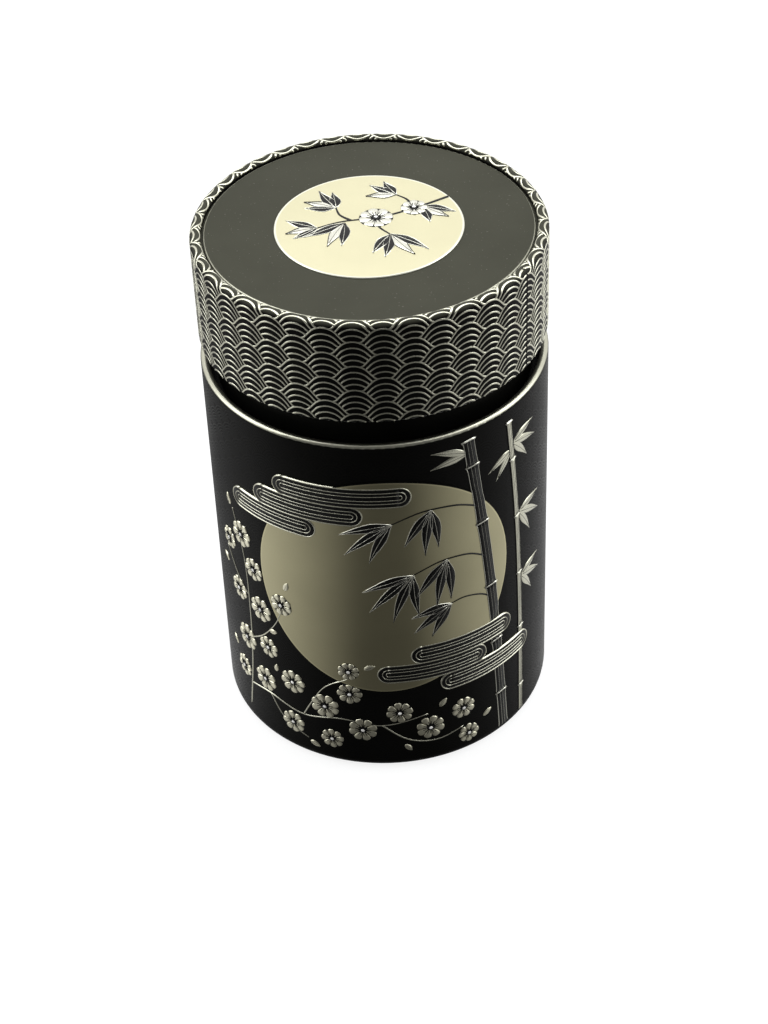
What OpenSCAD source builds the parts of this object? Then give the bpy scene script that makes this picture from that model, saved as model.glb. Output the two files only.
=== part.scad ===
// Double-lid tea caddy of rolled sheet metal.
// +Z is up, the origin is the centre of the circle that the tin rests on, and
// the front, with its raised round field, faces -Y.

/* [Body] */
// Outer radius of the rolled body
body_r = 40; // [34:0.5:48]
// Height of the body up to the top of its rim bead
body_h = 98.8; // [82:0.1:140]
// Thickness of the sheet that the tin is rolled from
sheet_t = 0.35; // [0.3:0.05:0.5]
// Outer radius of the rounded lower edge
foot_r = 3; // [2:0.1:4]
// Width of the ring that is turned in under the base pan
foot_lip_w = 2.6; // [1.5:0.1:4]
// Outer radius of the curl that makes the rim bead
bead_r = 1; // [0.8:0.05:1.3]
// Angle that the sheet's edge turns through in the body's and the neck's curls
curl_a = 300; // [270:10:310]

/* [Front field] */
// Radius of the raised round field, measured along the sheet
field_r = 31.6; // [15:0.2:33]
// Distance from the top of the rim bead down to the top of the field
field_drop = 9.7; // [6:0.1:12]
// How far the field stands out of the wall
field_rise = 0.3; // [0.2:0.05:0.35]

/* [Base] */
// Height of the top of the base pan's flange above the table
base_flange_z = 6; // [4.5:0.5:12]
// How far the centre of the base pan is raised
base_rise = 1.2; // [0.6:0.1:2]
// Width of the flat ring between the base pan's corner and its raised centre
base_land_w = 3.5; // [2:0.1:6]

/* [Neck collar] */
// Distance from the body's outside in to the neck
neck_inset = 4; // [3.6:0.1:5]
// Height of the collar's sleeve inside the body
sleeve_h = 14; // [8:0.5:25]
// Depth of the groove between the rim bead and the neck
groove_d = 4.6; // [3.5:0.1:7]
// Radius of the two bends of the collar's step
step_r = 0.8; // [0.6:0.05:1]

/* [Inner lid] */
// Depth of the inner lid's dish
dish_depth = 13; // [12.5:0.5:16]
// Outer radius of the rounded corner at the bottom of the dish
dish_corner_r = 2; // [1:0.1:3]
// Radius of the raised seat under the knob
seat_r = 11; // [9:0.5:14]
// Height of the raised seat under the knob
seat_rise = 0.8; // [0.4:0.1:1.2]
// Angle that the inner lid's rim hooks over the neck's curl, past its crest
rim_hook_a = 40; // [20:5:50]

/* [Knob] */
// Radius of the knob's head
knob_r = 8; // [6:0.5:10]
// Height of the knob
knob_h = 9.5; // [8:0.1:9.8]
// Thickness of the knob's head
knob_head_t = 3.6; // [3:0.1:4]
// Radius of the knob's foot
knob_foot_r = 5; // [4.4:0.1:5.8]
// Thickness of the knob's foot
knob_foot_t = 1; // [0.6:0.1:1.6]
// Smallest radius of the knob's waist
knob_waist_r = 3.6; // [3:0.1:4]
// Radius of the rivet's shank
rivet_r = 1.6; // [1.2:0.1:2]
// Length of the shank inside the knob
rivet_grip = 6; // [4:0.1:6.4]
// Radius of the rivet's head under the pan
rivet_head_r = 3.4; // [2.8:0.1:4]
// Thickness of the rivet's head
rivet_head_t = 1.1; // [0.8:0.1:1.4]

/* [Outer lid] */
// How far the skirt stands back from the body's outside
skirt_inset = 0.2; // [0:0.1:0.6]
// Height of the gap that shows the neck between the rim bead and the skirt
shadow_gap = 6.4; // [2:0.1:9]
// Height of the skirt
skirt_h = 25.4; // [23:0.1:32]
// Width of the convex ring that the skirt's top edge makes round the panel
ring_w = 2.5; // [2.45:0.05:4]
// Outer radius of the skirt's shoulder, which is the ring's outer bend
shoulder_r = 1.4; // [1.2:0.05:1.45]
// Outer radius of the ring's inner bend
ring_turn_r = 1; // [0.8:0.05:1.05]
// Height of the folded hem
hem_h = 3; // [2:0.1:5]
// Depth of the plateau below the crest of the ring round it
panel_recess = 0.9; // [0.75:0.05:1.2]
// Height of the plateau above the land that passes under the ring
plateau_rise = 0.65; // [0.65:0.05:0.8]
// Outer radius of the plateau's rounded edge
plateau_edge_r = 0.45; // [0.42:0.01:0.48]
// Width of the groove between the plateau and the ring
ring_groove_w = 0.4; // [0.2:0.05:0.6]
// Height of the panel's turned-down flange
panel_flange_h = 5; // [3:0.5:8]
// Radius of the raised round field on the panel
disc_r = 21.3; // [10:0.1:28]
// How far the field is raised
disc_rise = 0.3; // [0.2:0.05:0.4]

/* [Seams] */
// Width of the lap inside each side seam
seam_w = 4; // [2:0.5:6]
// Width of the fine line that the seam leaves outside
seam_line_w = 0.25; // [0.15:0.05:0.4]
// Depth of that line
seam_line_d = 0.12; // [0.05:0.01:0.15]
// Angle of the skirt's seam, anticlockwise from the front as seen from above
skirt_seam_a = 57; // [0:1:359]
// Angle of the body's seam, anticlockwise from the front as seen from above
body_seam_a = 180; // [120:1:240]

/* [Fits] */
// Clearance between pieces pressed or seamed together
press_gap = 0.05; // [0.02:0.01:0.08]
// Clearance of the inner lid in and on the neck
pan_gap = 0.1; // [0.05:0.01:0.15]
// Radial clearance between the neck's curl and the skirt's hem
guide_gap = 0.2; // [0.15:0.05:0.4]
// Height of the air between the inner lid and the outer lid that rests on it
rest_gap = 0.1; // [0.05:0.05:0.3]
// Height left between the end of a seam's lap and the piece beside it
lap_gap = 0.4; // [0.3:0.1:1]

/* [Hidden] */
$fn = 96;

lacquer = [0.05, 0.05, 0.045];
champagne = [0.66, 0.63, 0.52];
tinplate = [0.72, 0.72, 0.70];
far = 3 * body_r;
outline_points = 72;
bite = 0.1;

// Body: its inside, and the centre of its rounded lower edge
body_in_r = body_r - sheet_t;
foot_mid_r = body_r - foot_r;
field_z = body_h - field_drop - field_r;

// Base pan: it lies in the body's lower edge, on the turned-in ring
base_r = body_in_r - press_gap;
base_corner_r = base_r - foot_mid_r;
base_floor_z = sheet_t + press_gap;
base_land_in_r = foot_mid_r - base_land_w;

// Neck: its sleeve lines the body under the groove
sleeve_r = body_in_r - press_gap;
groove_z = body_h - groove_d;
sleeve_z = groove_z - sleeve_h;
neck_r = body_r - neck_inset;
neck_in_r = neck_r - sheet_t;

// Outer lid
skirt_z = body_h + shadow_gap;
lid_top_z = skirt_z + skirt_h;
skirt_r = body_r - skirt_inset;
skirt_in_r = skirt_r - sheet_t;
hem_in_r = skirt_in_r - sheet_t;
panel_z = lid_top_z - panel_recess;
land_z = panel_z - plateau_rise;
panel_r = skirt_in_r - press_gap;
ring_in_r = skirt_r - ring_w;
plateau_r = ring_in_r - ring_groove_w;
panel_flange_z = land_z - panel_flange_h;

// Inner lid: its rim hooks over the neck's curl, and the panel's land rests on it
rim_top_z = land_z - sheet_t - rest_gap;
neck_top_z = rim_top_z - sheet_t - pan_gap;
neck_curl_out_r = hem_in_r - guide_gap;
neck_curl_r = (neck_curl_out_r - neck_in_r) / 2;
neck_curl_mid = [neck_in_r + neck_curl_r, neck_top_z - neck_curl_r];
rim_r = neck_curl_r + pan_gap + sheet_t;
dish_r = neck_in_r - pan_gap;
dish_z = rim_top_z - dish_depth;
seat_z = dish_z + seat_rise + sheet_t;

// Half-plane slice from angle a0 to a1, under half a turn, about the origin.
module wedge(a0, a1) {
    mid = (a0 + a1) / 2;
    polygon([[0, 0], far * [cos(a0), sin(a0)], 2 * far * [cos(mid), sin(mid)],
             far * [cos(a1), sin(a1)]]);
}

// Section of bent sheet: outer radius r about centre, from angle a0 to a1.
module bend(centre, r, a0, a1) {
    translate(centre) intersection() {
        difference() {
            circle(r);
            circle(r - sheet_t);
        }
        wedge(a0, a1);
    }
}

// Section of a curl that starts at angle a0 and ends at a1 with its edge open.
module curl(centre, r, a0, a1) {
    third = (a1 - a0) / 3;
    for (i = [0:2]) bend(centre, r, a0 + i * third, a0 + (i + 1) * third);
}

// Section of straight sheet between two radii and two heights.
module strip(r0, r1, z0, z1) {
    translate([r0, z0]) square([r1 - r0, z1 - z0]);
}

// Section of sheet that slopes from one height to another.
module ramp(r0, z0, r1, z1) {
    polygon([[r0, z0], [r1, z1], [r1, z1 + sheet_t], [r0, z0 + sheet_t]]);
}

module tube(r0, r1, z0, z1) {
    translate([0, 0, z0]) difference() {
        cylinder(r = r1, h = z1 - z0);
        translate([0, 0, -1]) cylinder(r = r0, h = z1 - z0 + 2);
    }
}

// Lap of a side seam on the inside of a wall of inner radius r.
module seam_lap(r, angle, z0, z1) {
    rotate([0, 0, angle]) intersection() {
        tube(r - sheet_t, r + bite, z0, z1);
        translate([-seam_w / 2, -far, z0]) cube([seam_w, far, z1 - z0]);
    }
}

// Cutter for the line that a side seam leaves on a wall of outer radius r.
module seam_line(r, angle, z0, z1) {
    rotate([0, 0, angle]) translate([-seam_line_w / 2, -r - 1, z0])
        cube([seam_line_w, 1 + seam_line_d, z1 - z0]);
}

// Prism along -Y whose outline is a circle of radius r on the unrolled sheet.
module field_prism(r) {
    outline = [for (i = [0:outline_points - 1]) let (a = 360 * i / outline_points)
               [body_r * sin(r * cos(a) / body_r * 180 / PI), field_z + r * sin(a)]];
    rotate([90, 0, 0]) linear_extrude(2 * body_r) polygon(outline);
}

module body_shell() {
    bead_mid = [body_r - bead_r, body_h - bead_r];
    color(lacquer) difference() {
        union() {
            rotate_extrude() {
                strip(foot_mid_r - foot_lip_w, foot_mid_r, 0, sheet_t);
                bend([foot_mid_r, foot_r], foot_r, 270, 360);
                strip(body_in_r, body_r, foot_r, bead_mid[1]);
                curl(bead_mid, bead_r, 0, curl_a);
            }
            intersection() {
                tube(body_r - bite, body_r + field_rise, 0, body_h);
                field_prism(field_r);
            }
            seam_lap(body_in_r, body_seam_a, base_flange_z + lap_gap, sleeve_z - lap_gap);
        }
        intersection() {
            tube(body_in_r - 1, body_in_r + field_rise, 0, body_h);
            field_prism(field_r - sheet_t);
        }
        seam_line(body_r, body_seam_a, foot_r, bead_mid[1]);
    }
}

module base_pan() {
    color(tinplate) rotate_extrude() {
        strip(base_r - sheet_t, base_r, base_floor_z + base_corner_r, base_flange_z);
        bend([foot_mid_r, base_floor_z + base_corner_r], base_corner_r, 270, 360);
        strip(base_land_in_r, foot_mid_r, base_floor_z, base_floor_z + sheet_t);
        ramp(base_land_in_r - base_rise, base_floor_z + base_rise, base_land_in_r, base_floor_z);
        strip(0, base_land_in_r - base_rise, base_floor_z + base_rise,
              base_floor_z + base_rise + sheet_t);
    }
}

module neck_collar() {
    sleeve_bend = [sleeve_r - step_r, groove_z - step_r];
    neck_bend = [neck_in_r + step_r, groove_z - sheet_t + step_r];
    color(lacquer) rotate_extrude() {
        strip(sleeve_r - sheet_t, sleeve_r, sleeve_z, sleeve_bend[1]);
        bend(sleeve_bend, step_r, 0, 90);
        strip(neck_bend[0], sleeve_bend[0], groove_z - sheet_t, groove_z);
        bend(neck_bend, step_r, 180, 270);
        strip(neck_in_r, neck_r, neck_bend[1], neck_curl_mid[1]);
        curl(neck_curl_mid, neck_curl_r, 180 - curl_a, 180);
    }
}

module inner_lid_pan() {
    corner = [dish_r - dish_corner_r, dish_z + dish_corner_r];
    color(tinplate) difference() {
        rotate_extrude() {
            bend(neck_curl_mid, rim_r, 90, 180);
            bend(neck_curl_mid, rim_r, 90 - rim_hook_a, 90);
            strip(neck_curl_mid[0] - rim_r, neck_curl_mid[0] - rim_r + sheet_t, corner[1],
                  neck_curl_mid[1]);
            bend(corner, dish_corner_r, 270, 360);
            strip(seat_r + seat_rise, corner[0], dish_z, dish_z + sheet_t);
            ramp(seat_r, dish_z + seat_rise, seat_r + seat_rise, dish_z);
            strip(0, seat_r, dish_z + seat_rise, seat_z);
        }
        translate([0, 0, dish_z - 1]) cylinder(r = rivet_r + press_gap, h = dish_depth);
    }
}

module inner_lid_knob() {
    edge_r = knob_head_t / 2;
    head_z = knob_h - knob_head_t;
    waist_h = head_z - knob_foot_t;
    waist_mid = [knob_waist_r + waist_h / 2, knob_foot_t + waist_h / 2];
    color(tinplate) translate([0, 0, seat_z + press_gap]) difference() {
        rotate_extrude() {
            strip(0, knob_foot_r, 0, knob_foot_t);
            difference() {
                strip(0, waist_mid[0], knob_foot_t, head_z);
                translate(waist_mid) circle(waist_h / 2);
            }
            strip(0, knob_r - edge_r, head_z, knob_h);
            intersection() {
                translate([knob_r - edge_r, head_z + edge_r]) circle(edge_r);
                strip(knob_r - edge_r, knob_r + bite, head_z - bite, knob_h + bite);
            }
        }
        translate([0, 0, -1]) cylinder(r = rivet_r + press_gap, h = 1 + rivet_grip + press_gap);
    }
}

module knob_rivet() {
    head_top_z = dish_z + seat_rise - press_gap;
    color(tinplate) {
        translate([0, 0, head_top_z - rivet_head_t]) rotate_extrude() {
            intersection() {
                strip(0, rivet_head_r, 0, rivet_head_t);
                translate([0, rivet_head_dome_r()]) circle(rivet_head_dome_r());
            }
        }
        translate([0, 0, head_top_z - bite])
            cylinder(r = rivet_r, h = bite + press_gap + sheet_t + press_gap + rivet_grip);
    }
}

// Radius of the sphere that rounds the rivet's head down to its edge.
function rivet_head_dome_r() = (rivet_head_r * rivet_head_r + rivet_head_t * rivet_head_t)
                               / (2 * rivet_head_t);

module lid_skirt() {
    shoulder_mid = [skirt_r - shoulder_r, lid_top_z - shoulder_r];
    ring_mid = [ring_in_r + ring_turn_r, lid_top_z - ring_turn_r];
    color(lacquer) difference() {
        union() {
            rotate_extrude() {
                intersection() {
                    translate([skirt_in_r, skirt_z + sheet_t]) circle(sheet_t);
                    strip(hem_in_r - bite, skirt_r + bite, skirt_z - bite, skirt_z + sheet_t);
                }
                strip(hem_in_r, skirt_in_r, skirt_z + sheet_t, skirt_z + hem_h);
                strip(skirt_in_r, skirt_r, skirt_z + sheet_t, shoulder_mid[1]);
                bend(shoulder_mid, shoulder_r, 0, 90);
                strip(ring_mid[0], shoulder_mid[0], lid_top_z - sheet_t, lid_top_z);
                bend(ring_mid, ring_turn_r, 90, 180);
                strip(ring_in_r, ring_in_r + sheet_t, land_z + press_gap, ring_mid[1]);
            }
            seam_lap(skirt_in_r, skirt_seam_a, skirt_z + hem_h + lap_gap,
                     panel_flange_z - lap_gap);
        }
        seam_line(skirt_r, skirt_seam_a, skirt_z, shoulder_mid[1]);
    }
}

module lid_top_panel() {
    corner_r = shoulder_r;
    corner = [panel_r - corner_r, land_z - corner_r];
    edge = [plateau_r - plateau_edge_r, panel_z - plateau_edge_r];
    color(champagne) rotate_extrude() {
        strip(panel_r - sheet_t, panel_r, panel_flange_z, corner[1]);
        bend(corner, corner_r, 0, 90);
        strip(plateau_r - sheet_t, corner[0], land_z - sheet_t, land_z);
        strip(plateau_r - sheet_t, plateau_r, land_z - sheet_t, edge[1]);
        bend(edge, plateau_edge_r, 0, 90);
        strip(disc_r, edge[0], panel_z - sheet_t, panel_z);
        ramp(disc_r - disc_rise, panel_z - sheet_t + disc_rise, disc_r, panel_z - sheet_t);
        strip(0, disc_r - disc_rise, panel_z - sheet_t + disc_rise, panel_z + disc_rise);
    }
}

body_shell();
base_pan();
neck_collar();
inner_lid_pan();
inner_lid_knob();
knob_rivet();
lid_skirt();
lid_top_panel();
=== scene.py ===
"""Finish of a double-lid tea caddy: satin black lacquer, champagne metal, wave relief and a garden design.

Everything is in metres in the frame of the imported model: +Z up, the front towards -Y. Relief is laid
on the sheet metal in coordinates of the unrolled sheet, u round the tin from the front and v along the
sheet, so that it follows the wall, the shoulder and the ring of the lid.
"""

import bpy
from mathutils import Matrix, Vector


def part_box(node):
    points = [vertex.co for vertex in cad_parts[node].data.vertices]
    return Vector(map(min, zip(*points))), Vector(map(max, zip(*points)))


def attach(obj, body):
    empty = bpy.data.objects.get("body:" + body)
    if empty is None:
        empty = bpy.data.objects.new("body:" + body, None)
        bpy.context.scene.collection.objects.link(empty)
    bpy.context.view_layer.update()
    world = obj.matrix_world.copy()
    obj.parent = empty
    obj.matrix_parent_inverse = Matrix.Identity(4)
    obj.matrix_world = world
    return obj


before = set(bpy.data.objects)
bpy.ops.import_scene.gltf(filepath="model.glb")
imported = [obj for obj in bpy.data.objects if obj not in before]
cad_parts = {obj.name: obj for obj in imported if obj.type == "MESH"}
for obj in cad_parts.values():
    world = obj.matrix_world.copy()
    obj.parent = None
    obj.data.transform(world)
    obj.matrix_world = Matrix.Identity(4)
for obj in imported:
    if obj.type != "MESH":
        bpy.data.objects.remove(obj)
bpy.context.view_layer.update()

import math

import bmesh
import bpy
from mathutils import Matrix, Vector

MM = 0.001
TAU = 2 * math.pi
TINY = 1e-9


def clamp(value):
    return min(max(value, 0.0), 1.0)


# ---------------------------------------------------------------------------
# Sizes taken from the frame, and the bends of the sheet that the boxes don't show

body_lo, body_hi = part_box("body_shell")
skirt_lo, skirt_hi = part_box("lid_skirt")
panel_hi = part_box("lid_top_panel")[1]
neck_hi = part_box("neck_collar")[1]

BODY_R = body_hi.x
BODY_TOP = body_hi.z
BEAD_DEPTH = 2.2 * MM
FIELD_R = 31.6 * MM
FIELD_RISE = -body_lo.y - BODY_R
FIELD_BELOW_TOP = 9.7 * MM
FIELD_Z = BODY_TOP - FIELD_BELOW_TOP - FIELD_R

SKIRT_R = skirt_hi.x
SKIRT_BOTTOM = skirt_lo.z
SKIRT_TOP = skirt_hi.z
SHOULDER_R = 1.4 * MM
RING_TURN_R = 1.0 * MM
RING_TURN_DEPTH = 1.6 * MM
RING_W = 2.5 * MM
SEAM_ANGLE = math.radians(57)

DISC_R = 21.3 * MM
DISC_Z = panel_hi.z
PLATEAU_R = 36.9 * MM
NECK_TOP = neck_hi.z


# ---------------------------------------------------------------------------
# Surfaces that relief is laid on: each turns (u, v, height above it) into a point

class Wall:
    """The body's wall, unrolled: u along the sheet from the front, v the height. The field stands proud.

    With even=True everything is as high as if the field covered the wall, for shapes across its edge.
    """

    sink = 0.33 * MM

    def __init__(self, even=False):
        self.even = even

    def point(self, u, v, h):
        a = u / BODY_R
        outside = (math.hypot(u, v - FIELD_Z) - FIELD_R) / MM
        level = 1.0 if self.even else clamp(1.0 - outside)
        r = BODY_R + FIELD_RISE * level + h
        return Vector((r * math.sin(a), -r * math.cos(a), v))


class LidSkirt:
    """The lid's sheet, unrolled: v runs up the skirt, round the shoulder and over the ring."""

    sink = 0.03 * MM
    wall_len = SKIRT_TOP - SHOULDER_R - SKIRT_BOTTOM
    shoulder_len = SHOULDER_R * math.pi / 2
    crest_len = RING_W - SHOULDER_R - RING_TURN_R
    turn_len = RING_TURN_R * math.pi / 2
    length = wall_len + shoulder_len + crest_len + turn_len

    def section(self, v):
        """Radius, height and outward direction of the section at v."""
        if v <= self.wall_len:
            return SKIRT_R, SKIRT_BOTTOM + v, 1.0, 0.0
        v -= self.wall_len
        if v <= self.shoulder_len:
            a = v / SHOULDER_R
            return (SKIRT_R - SHOULDER_R + SHOULDER_R * math.cos(a),
                    SKIRT_TOP - SHOULDER_R + SHOULDER_R * math.sin(a), math.cos(a), math.sin(a))
        v -= self.shoulder_len
        if v <= self.crest_len:
            return SKIRT_R - SHOULDER_R - v, SKIRT_TOP, 0.0, 1.0
        a = math.pi / 2 + (v - self.crest_len) / RING_TURN_R
        mid_r = SKIRT_R - RING_W + RING_TURN_R
        return (mid_r + RING_TURN_R * math.cos(a), SKIRT_TOP - RING_TURN_R + RING_TURN_R * math.sin(a),
                math.cos(a), math.sin(a))

    def point(self, u, v, h):
        r, z, out, up = self.section(v)
        a = u / SKIRT_R
        r += h * out
        return Vector((r * math.sin(a), -r * math.cos(a), z + h * up))


class Top:
    """The round field on the lid's panel: u to the right, v to the back."""

    sink = 0.03 * MM

    def point(self, u, v, h):
        return Vector((u, v, DISC_Z + h))


# ---------------------------------------------------------------------------
# Relief builders

# Sections of a ridge: places across it as shares of its width, with shares of its height
ROUND = ((-0.5, 0.0), (-0.42, 0.5), (-0.22, 0.9), (0.0, 1.0), (0.22, 0.9), (0.42, 0.5), (0.5, 0.0))
FLAT = ((-0.5, 0.0), (-0.46, 0.75), (-0.38, 1.0), (0.0, 1.0), (0.38, 1.0), (0.46, 0.75), (0.5, 0.0))
LINE = ((-0.5, 0.0), (-0.3, 0.75), (0.0, 1.0), (0.3, 0.75), (0.5, 0.0))
EDGE_SHARE = 0.46


def directions(path):
    """The unit vector across the path, to its left, at each point."""
    out = []
    for i in range(len(path)):
        a = path[max(i - 1, 0)]
        b = path[min(i + 1, len(path) - 1)]
        du, dv = b[0] - a[0], b[1] - a[1]
        size = math.hypot(du, dv) or TINY
        out.append((-dv / size, du / size))
    return out


def ridge(bm, surface, path, widths, height, base=0.0, profile=LINE):
    """A raised line along a path of (u, v) points. widths is one number, or one for each point.

    base lifts it onto what lies under it, and its edges reach the surface's sink below that.
    """
    if len(path) < 2:
        return
    if not isinstance(widths, (list, tuple)):
        widths = [widths] * len(path)
    widest = max(widths)
    rows = []
    for (u, v), (nu, nv), w in zip(path, directions(path), widths):
        top = height * math.sqrt(w / widest)
        rows.append([bm.verts.new(surface.point(u + nu * w * across, v + nv * w * across,
                                                base + (top * up if up else -surface.sink)))
                     for across, up in profile])
    for r0, r1 in zip(rows, rows[1:]):
        for k in range(len(profile) - 1):
            bm.faces.new((r0[k + 1], r0[k], r1[k], r1[k + 1]))
    bm.faces.new(rows[0])
    bm.faces.new(rows[-1][::-1])


def sides(path, widths, share=EDGE_SHARE):
    """Two lines along a ridge, as paths, at a share of its width to each side of its middle."""
    across = list(zip(path, directions(path), widths))
    return ([(u + nu * w * share, v + nv * w * share) for (u, v), (nu, nv), w in across],
            [(u - nu * w * share, v - nv * w * share) for (u, v), (nu, nv), w in across])


def curve(points, steps=6):
    """A smooth path through points given in millimetres, in metres."""
    out = []
    for i in range(len(points) - 1):
        p0, p1 = points[max(i - 1, 0)], points[i]
        p2, p3 = points[i + 1], points[min(i + 2, len(points) - 1)]
        for k in range(steps):
            t = k / steps
            out.append(tuple(MM * 0.5 * (2 * b + (c - a) * t + (2 * a - 5 * b + 4 * c - d) * t * t
                                         + (3 * b - a - 3 * c + d) * t ** 3)
                             for a, b, c, d in zip(p0, p1, p2, p3)))
    out.append((points[-1][0] * MM, points[-1][1] * MM))
    return out


def disc(bm, surface, middle, radius, height, flat, count):
    """A round button with a rounded edge, level out to the share flat of its radius."""
    edge, edge_share, between_share = 0.94, 0.45, 0.85
    rings = ((1.0, -surface.sink), (edge, edge_share * height),
             (0.5 * (edge + flat), between_share * height), (flat, height))
    rows = []
    for scale, h in rings:
        rows.append([bm.verts.new(surface.point(middle[0] + radius * scale * math.cos(TAU * k / count),
                                                middle[1] + radius * scale * math.sin(TAU * k / count), h))
                     for k in range(count)])
    for r0, r1 in zip(rows, rows[1:]):
        for k in range(count):
            bm.faces.new((r0[k], r0[(k + 1) % count], r1[(k + 1) % count], r1[k]))
    bm.faces.new(rows[-1])
    bm.faces.new(rows[0][::-1])


class Relief:
    """Relief in several finishes on one surface, made into one piece for each finish at the end."""

    def __init__(self, prefix, surface, body, slot):
        self.prefix, self.surface, self.body, self.slot = prefix, surface, body, slot
        self.meshes = {}

    def mesh(self, finish):
        if finish not in self.meshes:
            self.meshes[finish] = bmesh.new()
        return self.meshes[finish]

    def ridge(self, finish, path, widths, height, **more):
        ridge(self.mesh(finish), self.surface, path, widths, height, **more)

    def disc(self, finish, middle, radius, height, flat, count):
        disc(self.mesh(finish), self.surface, middle, radius, height, flat, count)

    def make(self, finishes):
        for finish, bm in self.meshes.items():
            name = f"{self.prefix}_{finish}"
            mesh = bpy.data.meshes.new(name)
            bmesh.ops.recalc_face_normals(bm, faces=bm.faces)
            bm.to_mesh(mesh)
            bm.free()
            mesh.materials.append(finishes[finish])
            for polygon in mesh.polygons:
                polygon.use_smooth = True
            piece = bpy.data.objects.new(name, mesh)
            bpy.context.scene.collection.objects.link(piece)
            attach(piece, self.body)


# ---------------------------------------------------------------------------
# Colours, and the numbers of the finishes

def rgb(r, g, b):
    return (r, g, b, 1.0)


def shade(colour, factor):
    return rgb(*(factor * c for c in colour[:3]))


BLACK = rgb(0.0028, 0.0027, 0.0023)
GHOST_BLACK = rgb(0.006, 0.0058, 0.005)
RELIEF_BLACK = rgb(0.0035, 0.0034, 0.003)
# the panel's own black, which also serves as the painted sheen on the lid's ring
PANEL_BLACK = rgb(0.052, 0.0515, 0.038)
FLECK_GREY = rgb(0.25, 0.23, 0.2)
MOON = rgb(0.51, 0.475, 0.30)
CHAMPAGNE = rgb(0.66, 0.65, 0.525)
PETAL_METAL = rgb(0.88, 0.85, 0.66)
SILVER = rgb(0.80, 0.79, 0.69)
CREAM = rgb(0.73, 0.69, 0.465)
# the painted highlight on the raised rim of the cream field
CREAM_RIM_HIGHLIGHT = rgb(0.88, 0.87, 0.74)
EYE_WHITE = rgb(0.90, 0.89, 0.85)
TINPLATE = rgb(0.60, 0.595, 0.56)
KNOB_METAL = rgb(0.64, 0.60, 0.47)
RIVET_STEEL = rgb(0.55, 0.55, 0.53)

LACQUER_SPECULAR = 0.04
LACQUER_ROUGH = 0.4
TINPLATE_ROUGH = 0.3

# Noises, as scale, detail and, where it isn't the usual one, roughness
CLOUD = (60, 4.0)
METAL_CLOUD = (90, 4.0)
TURNED_CLOUD = (160, 4.0)
SPANGLE = (140, 3.0)
FINE_GRAIN = (7000, 2.0)
DRAWN_GRAIN = (2600, 3.0, 0.6)
SCUFFS = (420, 2.0, 0.7)
ORANGE_PEEL = (900, 2.0)
SPECKLE = (5200, 1.0)
FLECKS = (2600, 0.0)

# How a noise's scale is stretched along X, Y and Z
DRAWN = (0.03, 1.0, 1.0)
SCUFF_STRETCH = (0.25, 1.0, 0.6)

SPECKLE_SHARE = 0.35
FLECK_FROM = 0.82
FLECK_SHARE = 0.5
SCUFF_ROUGH = 0.08

# The part of a noise's range that a finish uses
MIDDLE = (0.3, 0.7)
UPPER = (0.35, 0.7)
INNER = (0.35, 0.65)
WIDE = (0.25, 0.75)
SCUFF_PEAKS = (0.66, 0.74)

# How far the roughness goes below and above the finish's own
LACQUER_SPREAD = (0.04, 0.06)
SATIN_SPREAD = (0.05, 0.07)
TINPLATE_SPREAD = (0.06, 0.08)
INSIDE_SPREAD = (0.03, 0.07)
TURNED_SPREAD = (0.0, 0.12)

# How far bumps stand up
LACQUER_BUMP = 0.012 * MM
METAL_BUMP = 0.01 * MM
TINPLATE_BUMP = 0.008 * MM
TURNED_BUMP = 0.003 * MM
BUMP_STRENGTH = 0.5

# How much lighter lacquer is in its clouds, and how much darker the metals are in theirs
CLOUDY = 1.6
PANEL_CLOUDY = 1.15
SATIN_DULL = 0.86
TURNED_DULL = 0.84
INSIDE_DULL = 0.88
MOON_DULL = 0.9
CREAM_DULL = 0.94

# Bands over which a print, a painted highlight or the ring's painted sheen changes, as two distances short
# of an edge or a top
FIELD_FADE = (0.30 * MM, 0.18 * MM)
FIELD_RIM_HIGHLIGHT = (0.65 * MM, 0.4 * MM)
BEAD_FADE = (0.7 * MM, 0.4 * MM)
DISC_FADE = (0.25 * MM, 0.15 * MM)
DISC_RIM_HIGHLIGHT = (0.75 * MM, 0.5 * MM)
PLATEAU_HIGHLIGHT_FADE = (0.42 * MM, 0.2 * MM)
PLATEAU_HIGHLIGHT_TOP_FADE = (0.75 * MM, 0.45 * MM)
RING_SHEEN_FADE = (0.9 * MM, 0.1 * MM)
NECK_CURL_FADE = (2.6 * MM, 2.3 * MM)

# Shares of a colour: the painted highlight on the field's rim, the bead's champagne, and the champagne of
# the painted highlight on the plateau's edge
MOON_RIM_HIGHLIGHT = 1.3
BEAD_SHADE = 0.75
PLATEAU_EDGE_HIGHLIGHT = 0.8

# The faint wave print on the black wall
GHOST_PITCH = 7.1 * MM
GHOST_RISE = 2.5 * MM
GHOST_RINGS = 5.0
GHOST_LINE_FROM = 0.62
GHOST_CLOUD = (0.3, 0.65, 0.5, 1.0)
GHOST_GLOSS = -0.16

TURNED_PITCH = 0.12 * MM
TURNED_CLOUD_SHARE = 2.0
TURNED_SPAN = (-0.4, 2.4)

# Below these, a surface faces the axis or down
INWARD = -0.2
DOWNWARD = -0.5
NEAR_AXIS = 0.1 * MM


# ---------------------------------------------------------------------------
# Node helpers

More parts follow.
